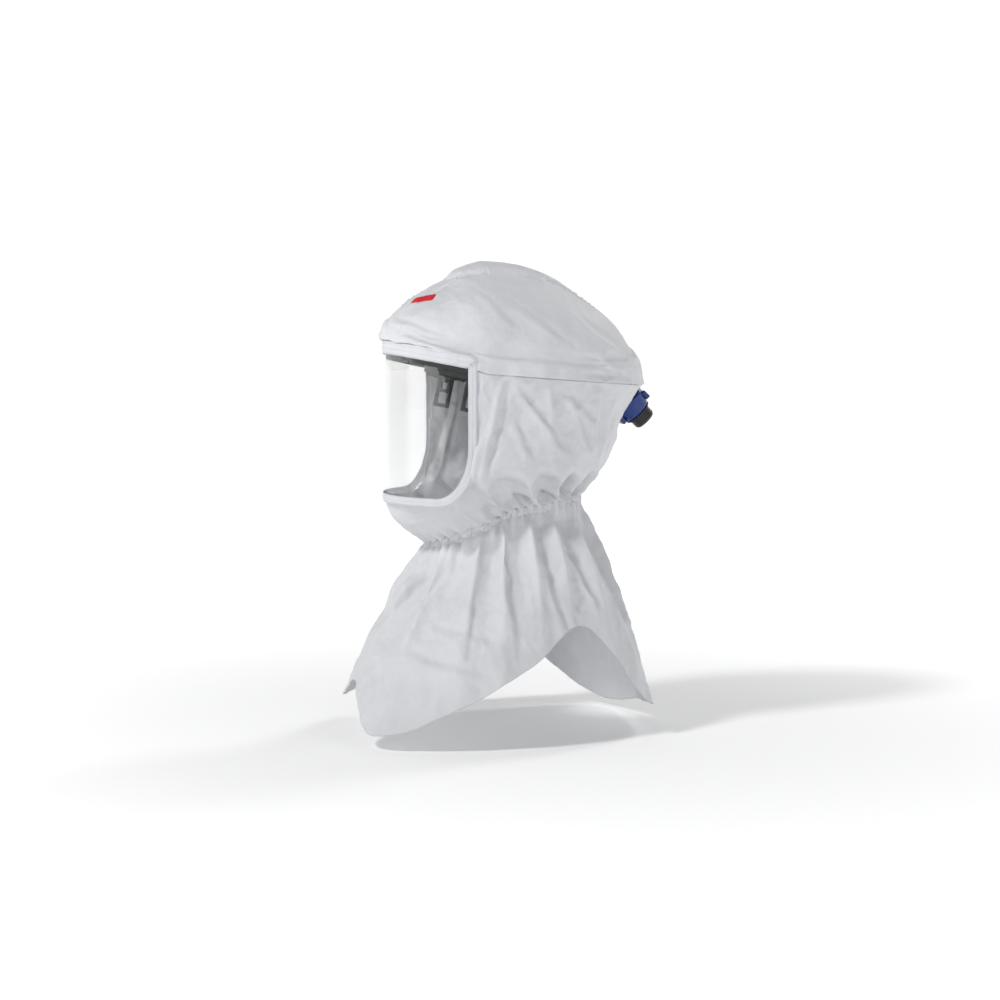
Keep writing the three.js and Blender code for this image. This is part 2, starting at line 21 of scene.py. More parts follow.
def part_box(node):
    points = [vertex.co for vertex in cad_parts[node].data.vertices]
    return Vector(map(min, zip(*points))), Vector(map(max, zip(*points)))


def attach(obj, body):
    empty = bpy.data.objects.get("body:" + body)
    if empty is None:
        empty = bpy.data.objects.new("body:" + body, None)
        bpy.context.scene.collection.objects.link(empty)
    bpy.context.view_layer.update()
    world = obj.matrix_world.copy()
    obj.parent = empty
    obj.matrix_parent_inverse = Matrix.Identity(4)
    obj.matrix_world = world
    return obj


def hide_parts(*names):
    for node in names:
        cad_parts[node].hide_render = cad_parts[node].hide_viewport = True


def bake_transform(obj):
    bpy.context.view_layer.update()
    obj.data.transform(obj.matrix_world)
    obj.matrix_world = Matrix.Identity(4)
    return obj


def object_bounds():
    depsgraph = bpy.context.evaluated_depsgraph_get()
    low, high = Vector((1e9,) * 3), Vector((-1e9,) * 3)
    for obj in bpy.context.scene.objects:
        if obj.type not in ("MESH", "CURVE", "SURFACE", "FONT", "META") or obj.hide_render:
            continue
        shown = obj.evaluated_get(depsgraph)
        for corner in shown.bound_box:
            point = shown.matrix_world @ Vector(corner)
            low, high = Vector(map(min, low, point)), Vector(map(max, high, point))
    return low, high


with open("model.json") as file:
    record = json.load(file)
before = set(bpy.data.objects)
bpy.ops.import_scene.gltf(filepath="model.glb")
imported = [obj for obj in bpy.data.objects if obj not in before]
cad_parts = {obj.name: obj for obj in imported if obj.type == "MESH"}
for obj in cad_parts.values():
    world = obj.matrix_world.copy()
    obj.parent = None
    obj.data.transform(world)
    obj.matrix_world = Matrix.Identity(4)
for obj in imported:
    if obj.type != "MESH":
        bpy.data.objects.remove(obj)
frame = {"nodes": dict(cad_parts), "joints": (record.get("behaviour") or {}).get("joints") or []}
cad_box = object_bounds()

nodes = frame["nodes"]
joints = {joint["name"]: joint for joint in frame["joints"]}
print("CAD nodes:", len(nodes), "joints:", len(joints))

# %% [markdown]
# ## Camera
#
# The hood is seen from the wearer's left, a little in front and a little above. A long lens from three
# metres keeps the proportions true.

# %% Camera
def place_camera(azimuth, elevation, distance, target):
    turn, rise = math.radians(azimuth), math.radians(elevation)
    away = Vector((math.sin(turn) * math.cos(rise), -math.cos(turn) * math.cos(rise), math.sin(rise)))
    data = bpy.data.cameras.new("camera")
    data.lens = 85
    camera = bpy.data.objects.new("camera", data)
    camera.location = target + away * distance
    camera.rotation_euler = away.to_track_quat("Z", "Y").to_euler()
    bpy.context.scene.collection.objects.link(camera)
    bpy.context.scene.camera = camera
    return camera


camera = place_camera(75, 5, 2.95, Vector((0, -0.004, -0.1493)))
print("camera at", tuple(round(value, 3) for value in camera.location))

# %% [markdown]
# ## Floor and light
#
# A product picture needs a pale floor and large soft lamps. One big lamp in front and above the visor
# shapes the folds, a weak one fills the near side, and a third lights the back. The floor glows a little
# away from the hood, so that it stays as white as the world behind it.

# %% Floor
def studio_floor(height, radius):
    sheet = bmesh.new()
    bmesh.ops.create_circle(sheet, cap_ends=True, segments=96, radius=radius)
    bmesh.ops.translate(sheet, verts=sheet.verts, vec=(0, 0, height))
    mesh = bpy.data.meshes.new("studio_floor")
    sheet.to_mesh(mesh)
    floor = bpy.data.objects.new("studio_floor", mesh)
    bpy.context.scene.collection.objects.link(floor)
    material = bpy.data.materials.new("pale_floor")
    material.use_nodes = True
    tree = material.node_tree
    shader = tree.nodes["Principled BSDF"]
    shader.inputs["Base Color"].default_value = (0.9, 0.9, 0.9, 1)
    shader.inputs["Roughness"].default_value = 0.9
    shader.inputs["Emission Color"].default_value = (1, 1, 1, 1)
    coordinate = tree.nodes.new("ShaderNodeTexCoord")
    distance = tree.nodes.new("ShaderNodeVectorMath")
    distance.operation = "LENGTH"
    glow = tree.nodes.new("ShaderNodeMapRange")
    glow.inputs["From Min"].default_value = 0.3
    glow.inputs["From Max"].default_value = 1.8
    glow.inputs["To Min"].default_value = 0.12
    glow.inputs["To Max"].default_value = 0.8
    tree.links.new(coordinate.outputs["Object"], distance.inputs[0])
    tree.links.new(distance.outputs["Value"], glow.inputs["Value"])
    tree.links.new(glow.outputs["Result"], shader.inputs["Emission Strength"])
    mesh.materials.append(material)
    return floor


floor = studio_floor(cad_box[0].z - 0.012, 14)

# %% Lamps and world
def soft_lamp(name, place, target, size, watts, tint=(1, 1, 1)):
    data = bpy.data.lights.new(name, "AREA")
    data.shape = "DISK"
    data.size = size
    data.energy = watts
    data.color = tint
    lamp = bpy.data.objects.new(name, data)
    lamp.location = place
    lamp.rotation_euler = (Vector(place) - Vector(target)).to_track_quat("Z", "Y").to_euler()
    bpy.context.scene.collection.objects.link(lamp)
    return lamp


middle = (0, 0, -0.1)
soft_lamp("key_lamp", (0.9, -2.3, 2.3), middle, 0.5, 60)
soft_lamp("fill_lamp", (2.6, 1.6, 0.9), middle, 1.6, 4)
soft_lamp("rim_lamp", (-1.2, 2.1, 1.7), middle, 0.7, 20)


def studio_world():
    """White all round at eye level, as a backdrop is, and greyer overhead so that folds keep their shade."""
    world = bpy.data.worlds.new("studio")
    world.use_nodes = True
    tree = world.node_tree
    direction = tree.nodes.new("ShaderNodeTexCoord")
    split = tree.nodes.new("ShaderNodeSeparateXYZ")
    fade = tree.nodes.new("ShaderNodeValToRGB")
    fade.color_ramp.elements[0].position = 0.28
    fade.color_ramp.elements[1].position = 0.45
    fade.color_ramp.elements[0].color = (1, 1, 1, 1)
    fade.color_ramp.elements[1].color = (0.14, 0.142, 0.147, 1)
    tree.links.new(direction.outputs["Generated"], split.inputs["Vector"])
    tree.links.new(split.outputs["Z"], fade.inputs["Fac"])
    background = tree.nodes["Background"]
    tree.links.new(fade.outputs["Color"], background.inputs["Color"])
    background.inputs["Strength"].default_value = 1.06
    bpy.context.scene.world = world


studio_world()
bpy.context.scene.view_settings.view_transform = "Standard"
print("lamps:", len(bpy.data.lights))

# %% [markdown]
# ## Finishes
#
# Each finish is a small node tree on Object coordinates: a colour that drifts slightly, a roughness
# that drifts with it, and a bump at the scale of the real grain.

# %% Node helpers
def new_material(name):
    material = bpy.data.materials.new(name)
    material.use_nodes = True
    tree = material.node_tree
    return material, tree, tree.nodes["Principled BSDF"]


def noise_node(tree, scale, detail=4.0, roughness=0.55, distortion=0.0):
    coordinate = tree.nodes.new("ShaderNodeTexCoord")
    texture = tree.nodes.new("ShaderNodeTexNoise")
    texture.inputs["Scale"].default_value = scale
    texture.inputs["Detail"].default_value = detail
    texture.inputs["Roughness"].default_value = roughness
    texture.inputs["Distortion"].default_value = distortion
    tree.links.new(coordinate.outputs["Object"], texture.inputs["Vector"])
    return texture


def ramp(tree, source, low, high, start=0.3, end=0.7):
    node = tree.nodes.new("ShaderNodeValToRGB")
    node.color_ramp.elements[0].position = start
    node.color_ramp.elements[1].position = end
    node.color_ramp.elements[0].color = (*low, 1)
    node.color_ramp.elements[1].color = (*high, 1)
    tree.links.new(source, node.inputs["Fac"])
    return node.outputs["Color"]


def bump(tree, height, distance, strength=1.0, under=None):
    node = tree.nodes.new("ShaderNodeBump")
    node.inputs["Distance"].default_value = distance
    node.inputs["Strength"].default_value = strength
    tree.links.new(height, node.inputs["Height"])
    if under is not None:
        tree.links.new(under, node.inputs["Normal"])
    return node.outputs["Normal"]


# %% Nonwoven fabric
def nonwoven(name, low, high, stitched=False):
    """Flash-spun sheet: nearly even white, fine fibres, and crisp little facets where it was folded."""
    material, tree, shader = new_material(name)
    cloud = noise_node(tree, 16, 3, 0.5)
    tree.links.new(ramp(tree, cloud.outputs["Fac"], low, high, 0.3, 0.7), shader.inputs["Base Color"])
    coordinate = tree.nodes.new("ShaderNodeTexCoord")
    facet = tree.nodes.new("ShaderNodeTexVoronoi")
    facet.inputs["Scale"].default_value = 42
    facet.inputs["Detail"].default_value = 2
    facet.inputs["Randomness"].default_value = 1
    tree.links.new(coordinate.outputs["Object"], facet.inputs["Vector"])
    fibre = noise_node(tree, 1100, 3, 0.7, 1.2)
    crumpled = bump(tree, facet.outputs["Distance"], 0.0016, 0.4)
    grain = bump(tree, fibre.outputs["Fac"], 0.00012, 0.35, crumpled)
    tree.links.new(grain, shader.inputs["Normal"])
    if stitched:
        tree.links.new(stitch_rows(tree, grain), shader.inputs["Normal"])
    rough = ramp(tree, cloud.outputs["Fac"], (0.52, 0.52, 0.52), (0.64, 0.64, 0.64))
    tree.links.new(rough, shader.inputs["Roughness"])
    shader.inputs["Specular IOR Level"].default_value = 0.35
    shader.inputs["Sheen Weight"].default_value = 0.1
    shader.inputs["Sheen Roughness"].default_value = 0.5
    shader.inputs["Subsurface Weight"].default_value = 0.1
    shader.inputs["Subsurface Radius"].default_value = (0.004, 0.004, 0.004)
    return material


def stitch_rows(tree, under):
    """Two rows of short stitches along a strip, read from its UV map: U in metres, V from 0 to 1 across."""
    place = tree.nodes.new("ShaderNodeUVMap")
    along = tree.nodes.new("ShaderNodeTexWave")
    along.inputs["Scale"].default_value = 0.314 / 0.003
    rows = tree.nodes.new("ShaderNodeTexWave")
    rows.bands_direction = "Y"
    rows.inputs["Scale"].default_value = 0.314 / 0.36
    for wave in (along, rows):
        tree.links.new(place.outputs["UV"], wave.inputs["Vector"])
    narrow = tree.nodes.new("ShaderNodeMath")
    narrow.operation = "POWER"
    narrow.inputs[1].default_value = 9
    tree.links.new(rows.outputs["Fac"], narrow.inputs[0])
    stitch = tree.nodes.new("ShaderNodeMath")
    stitch.operation = "MULTIPLY"
    tree.links.new(along.outputs["Fac"], stitch.inputs[0])
    tree.links.new(narrow.outputs[0], stitch.inputs[1])
    return bump(tree, stitch.outputs[0], 0.0008, 0.8, under)


white_fabric = nonwoven("white_nonwoven", (0.60, 0.61, 0.63), (0.645, 0.655, 0.675))

# %% Moulded plastics, rubber and metal
def moulded(name, low, high, roughness, grain=1400, depth=0.00006, metallic=0.0):
    """Injection-moulded plastic with a fine spark-eroded grain and handling marks."""
    material, tree, shader = new_material(name)
    patch = noise_node(tree, 60, 5, 0.6)
    tree.links.new(ramp(tree, patch.outputs["Fac"], low, high), shader.inputs["Base Color"])
    fine = noise_node(tree, grain, 2, 0.5)
    tree.links.new(bump(tree, fine.outputs["Fac"], depth, 0.6), shader.inputs["Normal"])
    wear = [max(0.02, roughness + shift) for shift in (-0.07, 0.08)]
    rough = ramp(tree, patch.outputs["Fac"], [wear[0]] * 3, [wear[1]] * 3)
    tree.links.new(rough, shader.inputs["Roughness"])
    shader.inputs["Metallic"].default_value = metallic
    return material


black_plastic = moulded("black_moulding", (0.006, 0.006, 0.007), (0.014, 0.014, 0.016), 0.36)
dark_plastic = moulded("dark_grey_moulding", (0.016, 0.018, 0.021), (0.032, 0.034, 0.038), 0.42)
grey_plastic = moulded("grey_moulding", (0.20, 0.21, 0.23), (0.27, 0.28, 0.30), 0.45)
blue_plastic = moulded("blue_moulding", (0.002, 0.016, 0.14), (0.003, 0.034, 0.21), 0.28)
red_film = moulded("red_film", (0.60, 0.012, 0.022), (0.72, 0.02, 0.03), 0.4, 500)
rubber = moulded("black_rubber", (0.008, 0.008, 0.008), (0.016, 0.016, 0.016), 0.72, 700)
steel = moulded("bright_steel", (0.5, 0.5, 0.51), (0.62, 0.62, 0.63), 0.25, 900, 0.00003, 1.0)
print("plastics ready")

# %% Clear film, binding, webbing and padded cloth
def clear_film():
    material, tree, shader = new_material("clear_film")
    shader.inputs["Base Color"].default_value = (0.97, 0.98, 0.985, 1)
    shader.inputs["Transmission Weight"].default_value = 1.0
    shader.inputs["IOR"].default_value = 1.35
    shader.inputs["Alpha"].default_value = 0.16
    smear = noise_node(tree, 9, 4, 0.6)
    tree.links.new(ramp(tree, smear.outputs["Fac"], (0.015,) * 3, (0.06,) * 3), shader.inputs["Roughness"])
    ripple = noise_node(tree, 14, 2, 0.4)
    tree.links.new(bump(tree, ripple.outputs["Fac"], 0.0004, 0.15), shader.inputs["Normal"])
    return material


def woven(name, low, high, pitch, depth, roughness=0.8):
    """Crossed threads: two sets of fine waves in the piece's own UV map."""
    material, tree, shader = new_material(name)
    place = tree.nodes.new("ShaderNodeUVMap")
    heights = []
    for direction in ("X", "Y"):
        thread = tree.nodes.new("ShaderNodeTexWave")
        thread.bands_direction = direction
        thread.inputs["Scale"].default_value = 0.314 / pitch
        thread.inputs["Distortion"].default_value = 0.4
        tree.links.new(place.outputs["UV"], thread.inputs["Vector"])
        heights.append(thread.outputs["Fac"])
    crossing = tree.nodes.new("ShaderNodeMath")
    crossing.operation = "MAXIMUM"
    for socket, height in zip(crossing.inputs, heights):
        tree.links.new(height, socket)
    # The thread height also sets the colour: the gaps between threads are painted darker, as painted shade in
    # the weave's hollows.
    tree.links.new(ramp(tree, crossing.outputs[0], low, high, 0.2, 0.9), shader.inputs["Base Color"])
    tree.links.new(bump(tree, crossing.outputs[0], depth, 0.8), shader.inputs["Normal"])
    shader.inputs["Roughness"].default_value = roughness
    shader.inputs["Sheen Weight"].default_value = 0.2
    return material


film = clear_film()
# The darker colour of each weave is painted shade in the gaps between threads.
webbing = woven("black_webbing", (0.006, 0.006, 0.007), (0.03, 0.03, 0.033), 0.0011, 0.0002)
pad_cloth = woven("padded_cloth", (0.018, 0.019, 0.022), (0.05, 0.052, 0.058), 0.0009, 0.0002, 0.9)
binding = nonwoven("binding_strip", (0.60, 0.61, 0.64), (0.66, 0.67, 0.70), stitched=True)
print("cloths ready")

# %% [markdown]
# ## The hood's shape
#
# A hood is sewn from panels, but worn it is a stack of closed rings: the seam under the crown, the
# visor's height, the chin, the neck. Each ring is given by its front, its side and its back, and a smooth
# curve joins the rings at every angle. The same few numbers serve the crown, the cape and the skirt.

# %% Rings and surfaces
BACK_FULLNESS = 0.8
MM = 0.001


def ring_point(ring, angle):
    """A point on a ring. Angle 0 is the front and a quarter turn is the wearer's left."""
    (front, side, back) = ring
    width, middle, side_height = side
    forward, across = math.cos(angle), math.sin(angle)
    end_y, end_z = front if forward > 0 else back
    reach = abs(forward)
    fullness = 1 if forward > 0 else BACK_FULLNESS
    return Vector((
        width * math.copysign(abs(across) ** fullness, across),
        middle + (end_y - middle) * reach,
        side_height + (end_z - side_height) * reach)) * MM


def along_rings(rings, angle, down):
    """The smooth curve through the rings at one angle, from 0 at the first to 1 at the last."""
    points = [ring_point(ring, angle) for ring in rings]
    points = [2 * points[0] - points[1], *points, 2 * points[-1] - points[-2]]
    place = min(max(down, 0), 1) * (len(rings) - 1)
    start = min(int(place), len(rings) - 2)
    t = place - start
    a, b, c, d = points[start:start + 4]
    return 0.5 * (2 * b + (c - a) * t + (2 * a - 5 * b + 4 * c - d) * t ** 2
                  + (3 * b - a - 3 * c + d) * t ** 3)


POLE = ((-28, 147), (0, -28, 147), (-28, 147))
SEAM = ((-149.5, 47), (112, -50, 12), (176, -6))
CROWN_RINGS = [
    POLE,
    ((-50, 141), (20, -28, 145), (20, 142)),
    ((-75, 131), (46, -30, 138), (72, 126)),
    ((-100, 117), (72, -32, 120), (115, 98)),
    ((-127, 100), (92, -35, 98), (139, 77)),
    ((-150, 78), (106, -40, 70), (158, 50)),
    ((-153.5, 62), (111, -45, 40), (174, 22)),
    SEAM]
CAPE_RINGS = [
    SEAM,
    ((-149.5, -20), (112, -48, -30), (151, -41)),
    ((-149.5, -90), (112, -46, -75), (138, -78)),
    ((-148, -146), (108, -42, -115), (118, -110)),
    ((-136, -173), (94, -25, -140), (104, -130)),
    ((-101, -198), (82, -3, -152), (96, -142))]
NECK = ((-95, -203), (78, 0, -157), (93, -147))
HEM_BASE = ((-222, -415), (212, -10, -415), (192, -415))
HEM = (-368, -418, -383, -333, -292, -386, -408, -421, -360, -325, -360, -400)
print("crown rings:", len(CROWN_RINGS), "cape rings:", len(CAPE_RINGS))

# %% The hem
def hem_height(angle):
    """The hem's height round the skirt: smooth through the twelve measured heights."""
    place = (angle / (2 * math.pi) % 1) * len(HEM)
    start = int(place)
    t = place - start
    a, b, c, d = (HEM[(start + step) % len(HEM)] for step in (-1, 0, 1, 2))
    return MM * 0.5 * (2 * b + (c - a) * t + (2 * a - 5 * b + 4 * c - d) * t ** 2
                       + (3 * b - a - 3 * c + d) * t ** 3)


def skirt_point(angle, down):
    top, base = ring_point(NECK, angle), ring_point(HEM_BASE, angle)
    reach = (top.z - hem_height(angle)) / (top.z - base.z)
    bulge = 10 * MM * math.sin(math.pi * down)
    point = top.lerp(base, reach * down)
    return point + Vector((bulge * math.sin(angle), -bulge * math.cos(angle), 0))


# %% [markdown]
# ## From a flat grid to cloth
#
# Cloth starts as a flat grid, as the real panel does. Every grid point is moved on to the surface, the
# two ends are welded into a tube, and the grid's own coordinates stay in a layer, so that the same
# points can also be laid out as the wider, ungathered cloth.

# %% Grid and cloth helpers
def cloth_tube(columns, rows, place):
    """A tube of cloth: place(angle, down) gives each point, and the layer 'pattern' keeps angle and down."""
    tube = bmesh.new()
    pattern = tube.verts.layers.float_vector.new("pattern")
    tube.loops.layers.uv.new("UVMap")
    bmesh.ops.create_grid(tube, x_segments=columns, y_segments=rows, size=0.5, calc_uvs=True)
    for vert in tube.verts:
        angle, down = (vert.co.x + 0.5) * 2 * math.pi, 0.5 - vert.co.y
        vert[pattern] = (angle, down, 0)
        vert.co = place(angle, down)
    bmesh.ops.remove_doubles(tube, verts=tube.verts, dist=1e-6)
    bmesh.ops.recalc_face_normals(tube, faces=tube.faces)
    sample = max(tube.faces, key=lambda face: face.calc_center_median().x)
    if sample.normal.x < 0:
        bmesh.ops.reverse_faces(tube, faces=tube.faces)
    return tube, pattern


def add_object(name, mesh_data, material, smooth=True):
    """Writes a bmesh to a new object at the origin."""
    mesh = bpy.data.meshes.new(name)
    mesh_data.to_mesh(mesh)
    mesh_data.free()
    mesh.materials.append(material)
    for polygon in mesh.polygons:
        polygon.use_smooth = smooth
    piece = bpy.data.objects.new(name, mesh)
    bpy.context.scene.collection.objects.link(piece)
    return piece


def jitter(angle, rate, seed):
    """A slow random drift round the ring that closes on itself, from -1 to 1."""
    return noise.noise(Vector((math.cos(angle) * rate, math.sin(angle) * rate, seed)))


def smoothstep(low, high, value):
    t = min(max((value - low) / (high - low), 0), 1)
    return t * t * (3 - 2 * t)


def coordinates(mesh):
    flat = np.empty(len(mesh.vertices) * 3, np.float32)
    mesh.vertices.foreach_get("co", flat)
    return flat.reshape(-1, 3)


def shift_along_normals(piece, amount):
    """Moves each point along its normal by amount(place). All are read first and written back once."""
    mesh = piece.data
    mesh.update()
    places = coordinates(mesh)
    normals = np.empty(len(mesh.vertices) * 3, np.float32)
    mesh.vertex_normals.foreach_get("vector", normals)
    heights = np.array([amount(Vector(place)) for place in places], np.float32)
    mesh.vertices.foreach_set("co", (places + normals.reshape(-1, 3) * heights[:, None]).ravel())
    mesh.update()


def settle(piece, pins, cut, frames, bending, gravity, air=0.0, farthest=0.02):
    """Lets cloth relax. pins holds each point, 0 free to 1 fixed, and cut is its unstressed shape."""
    start = coordinates(piece.data).copy()
    piece.shape_key_add(name="start")
    piece.shape_key_add(name="cut").data.foreach_set("co", np.asarray(cut, np.float32).ravel())
    group = piece.vertex_groups.new(name="pins")
    for index, weight in enumerate(pins):
        if weight > 0:
            group.add([index], float(weight), "REPLACE")
    cloth = piece.modifiers.new("cloth", "CLOTH")
    settings = cloth.settings
    settings.quality = 5
    settings.mass = 0.06
    settings.tension_stiffness = settings.compression_stiffness = 25
    settings.shear_stiffness = 12
    settings.bending_stiffness = bending
    settings.tension_damping = settings.compression_damping = settings.shear_damping = 8
    settings.bending_damping = 1.5
    settings.air_damping = 2
    settings.vertex_group_mass = "pins"
    settings.pin_stiffness = 12
    settings.rest_shape_key = piece.data.shape_keys.key_blocks["cut"]
    settings.use_pressure = air != 0
    settings.uniform_pressure_force = air
    settings.effector_weights.gravity = gravity
    cloth.collision_settings.use_collision = False
    cloth.point_cache.frame_start = 1
    cloth.point_cache.frame_end = frames
    scene = bpy.context.scene
    for step in range(1, frames + 1):
        scene.frame_set(step)
    settled = piece.evaluated_get(bpy.context.evaluated_depsgraph_get())
    moved = coordinates(settled.data).copy() - start
    length = np.maximum(np.linalg.norm(moved, axis=1), 1e-9)
    moved *= np.minimum(1, farthest / length)[:, None]
    piece.modifiers.remove(cloth)
    piece.shape_key_clear()
    piece.vertex_groups.clear()
    piece.data.vertices.foreach_set("co", (start + moved).ravel())
    scene.frame_set(1)
    print(piece.name, "settled, farthest point moved", round(float(length.max()) * 1000, 1), "mm")


def crumple(piece, seed, height, size):
    """Presses crisp facets into settled cloth, as if it had been unfolded: Voronoi cells in three sizes."""
    def facets(point):
        value = 0
        for share, scale in ((1.0, 1.0), (0.5, 0.45), (0.22, 0.2)):
            place = point / (size * scale) + Vector((seed, seed * 2.7, -seed))
            place += 0.4 * noise.noise_vector(place * 0.7)
            value += share * (noise.voronoi(place)[0][0] - 0.5)
        return value * height

    shift_along_normals(piece, facets)


def press_folds(piece, lines, width, height):
    """Presses long creases into cloth. Each line is (side, y, z, y, z, strength), in millimetres."""
    for side, y0, z0, y1, z1, strength in lines:
        start, end = Vector((y0, z0)) * MM, Vector((y1, z1)) * MM
        length = (end - start).length
        along = (end - start) / length
        across = Vector((-along.y, along.x))

        def crease(point):
            place = Vector((point.y, point.z)) - start
            reach = place.dot(along) / length
            if point.x * side < 12 * MM or not -0.1 < reach < 1.1:
                return 0.0
            off = (place.dot(across) + 2.5 * MM * noise.noise(point * 30 + Vector((y0, z0, 0)))) / width
            if abs(off) > 4:
                return 0.0
            ends = smoothstep(-0.1, 0.25, reach) * (1 - smoothstep(0.7, 1.1, reach))
            ridge = math.exp(-abs(off) ** 1.4) - 0.75 * math.exp(-((off - 1.7) / 0.8) ** 2)
            return ridge * height * ends * strength

        shift_along_normals(piece, crease)


def refine(piece):
    """Splits settled cloth once with a subdivision surface, so that creases have points to stand on."""
    smooth = piece.modifiers.new("refine", "SUBSURF")
    smooth.levels = smooth.render_levels = 1
    fine = bpy.data.meshes.new_from_object(piece.evaluated_get(bpy.context.evaluated_depsgraph_get()))
    coarse = piece.data
    piece.modifiers.clear()
    piece.data = fine
    bpy.data.meshes.remove(coarse)
    fine.name = piece.name
    for polygon in fine.polygons:
        polygon.use_smooth = True


def keep_off(piece, node, gap):
    """Lifts cloth off a rigid node below it, so that no edge of the node shows through."""
    hard = bmesh.new()
    hard.from_mesh(bpy.data.objects[node].data)
    tree = BVHTree.FromBMesh(hard)
    hard.free()

    def lift(point):
        spot, normal, _, distance = tree.find_nearest(point)
        height = (point - spot).dot(normal)
        return gap - height if distance < 4 * gap and height < gap else 0.0

    shift_along_normals(piece, lift)


def surface_area(piece):
    measure = bmesh.new()
    measure.from_mesh(piece.data)
    area = sum(face.calc_area() for face in measure.faces)
    measure.free()
    return area


def finish_cloth(piece, thickness, body, slot, *cad_nodes):
    """Gives the cloth its thickness, ties it to a body and hides the CAD solids it stands for."""
    solid = piece.modifiers.new("thickness", "SOLIDIFY")
    solid.thickness = thickness
    solid.offset = -1
    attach(piece, body)
    if cad_nodes:
        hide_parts(*cad_nodes)
    print(piece.name, len(piece.data.polygons), "faces, area", round(surface_area(piece), 4), "m2")


# %% Folds round a gather
def valley(angle, ridges):
    """0 on a ridge and 1 in the middle of the valley between two ridges, given in degrees."""
    turn = math.degrees(angle) % 360
    if turn < ridges[0]:
        turn += 360
    for low, high in zip(ridges, ridges[1:] + [ridges[0] + 360]):
        if low <= turn < high:
            return math.sin(math.pi * (turn - low) / (high - low)) ** 0.7
    return 0.0


# %% [markdown]
# ## The crown
#
# The crown cap is cut with spare cloth and pulled over the frame, so it is nearly smooth on top, rolls
# over at the brow, sags in soft folds below the brim and puckers where it is sewn to the cape.

# %% Crown
def crown_point(angle, down):
    point = along_rings(CROWN_RINGS, angle, down)
    # the brow brim bulges forward and rolls under
    front = max(0, math.cos(angle)) ** 3
    brow = smoothstep(0.55, 0.8, down) * (1 - smoothstep(0.88, 0.97, down)) * front
    tuck = smoothstep(0.84, 0.95, down) * front
    return point + Vector((0, -4.5 * MM, -1.5 * MM)) * brow + Vector((0, 3 * MM, 0)) * tuck


def make_crown():
    tube, pattern = cloth_tube(180, 64, crown_point)
    bmesh.ops.remove_doubles(tube, verts=tube.verts, dist=1e-5)
    tube.normal_update()
    cut, pins = [], []
    for vert in tube.verts:
        angle, down, _ = vert[pattern]
        ripple = math.sin(44 * angle + 3 * jitter(angle, 2.2, 4)) * smoothstep(0.86, 0.97, down)
        soft = noise.noise(vert.co * 17 + Vector((0, 0, 5))) * smoothstep(0.35, 0.7, down)
        lip = smoothstep(0.95, 1.0, down) * 1.4
        vert.co += vert.normal * (0.9 * ripple + 3.5 * soft + lip) * MM
        spare = 1 + 0.05 * smoothstep(0.25, 0.9, down)
        cut.append((vert.co.x * spare, vert.co.y * spare, vert.co.z * spare))
        pins.append(1.0 if down > 0.985 else 0.03 + 0.25 * (1 - smoothstep(0.0, 0.4, down)))
    crown = add_object("crown_cloth", tube, white_fabric)
    settle(crown, pins, cut, 22, 1.6, 0.5, farthest=6 * MM)
    return crown


crown = make_crown()
refine(crown)

# %% Crown folds
BROW_FOLDS = [(side, *line) for side in (1, -1) for line in (
    (-152, 60, -64, 27, 1.0), (-150, 74, -86, 46, 0.8), (-120, 44, -40, 18, 0.7),
    (-20, 96, 60, 40, 0.6), (40, 104, 120, 34, 0.5), (-60, 112, -10, 60, 0.35), (90, 60, 150, 20, 0.6))]
press_folds(crown, BROW_FOLDS, 5 * MM, 2.4 * MM)
crumple(crown, 3.0, 2.2 * MM, 46 * MM)
keep_off(crown, "duct_lid", 2.2 * MM)
finish_cloth(crown, 0.5 * MM, "hood_frame", "fabric", "hood_crown")

# %% [markdown]
# ## The cape
#
# The cape hangs from the crown seam, frames the visor and is gathered at the neck. A gather is cloth
# cut wider than the ring it is sewn to. The little waves at the neck and the deep pockets above them are
# shaped first, between ridges at uneven angles. The cloth solver, with a wider cut as its rest shape, only
# softens them, because a free simulation would put the pockets in other places. Long creases and facets
# are pressed in last.

# %% Visor outline
LENS_WIDE, LENS_DEEP, LENS_MIDDLE_Y = 112 * MM, 99 * MM, -50 * MM
LENS_TOP, LENS_FALL, LENS_BOTTOM = 38.5 * MM, 0.204, -143 * MM
LENS_ANGLE = math.radians(80)
CORNER_ANGLE, CORNER_TOP = math.radians(55), -76 * MM


def on_cylinder(angle, height, proud=0.0):
    """A point on the bent visor. Angle 0 is the front, proud is outwards."""
    return Vector((
        (LENS_WIDE + proud) * math.sin(angle),
        LENS_MIDDLE_Y - (LENS_DEEP + proud) * math.cos(angle),
        height))


def lens_top(angle):
    y = LENS_MIDDLE_Y - LENS_DEEP * math.cos(angle)
    return LENS_TOP - LENS_FALL * (y + 149 * MM)


def lens_bottom(angle):
    turn = max(0.0, min(1.0, (abs(angle) - CORNER_ANGLE) / (LENS_ANGLE - CORNER_ANGLE)))
    return LENS_BOTTOM + (CORNER_TOP - LENS_BOTTOM) * (1 - math.sqrt(max(0.0, 1 - turn * turn)))


# %% Neck gather
WAVES = 46
CAPE_RIDGES = [8, 27, 46, 63, 84, 107, 125, 139, 156, 176, 199, 221, 236, 252, 277, 299, 318, 338]


def gather_wave(angle):
    """The little waves of the gather, shared by the cape above and the skirt below."""
    return math.sin(WAVES * angle + 7 * jitter(angle, 1.6, 11)) * (0.8 + 0.35 * jitter(angle, 3.0, 5))


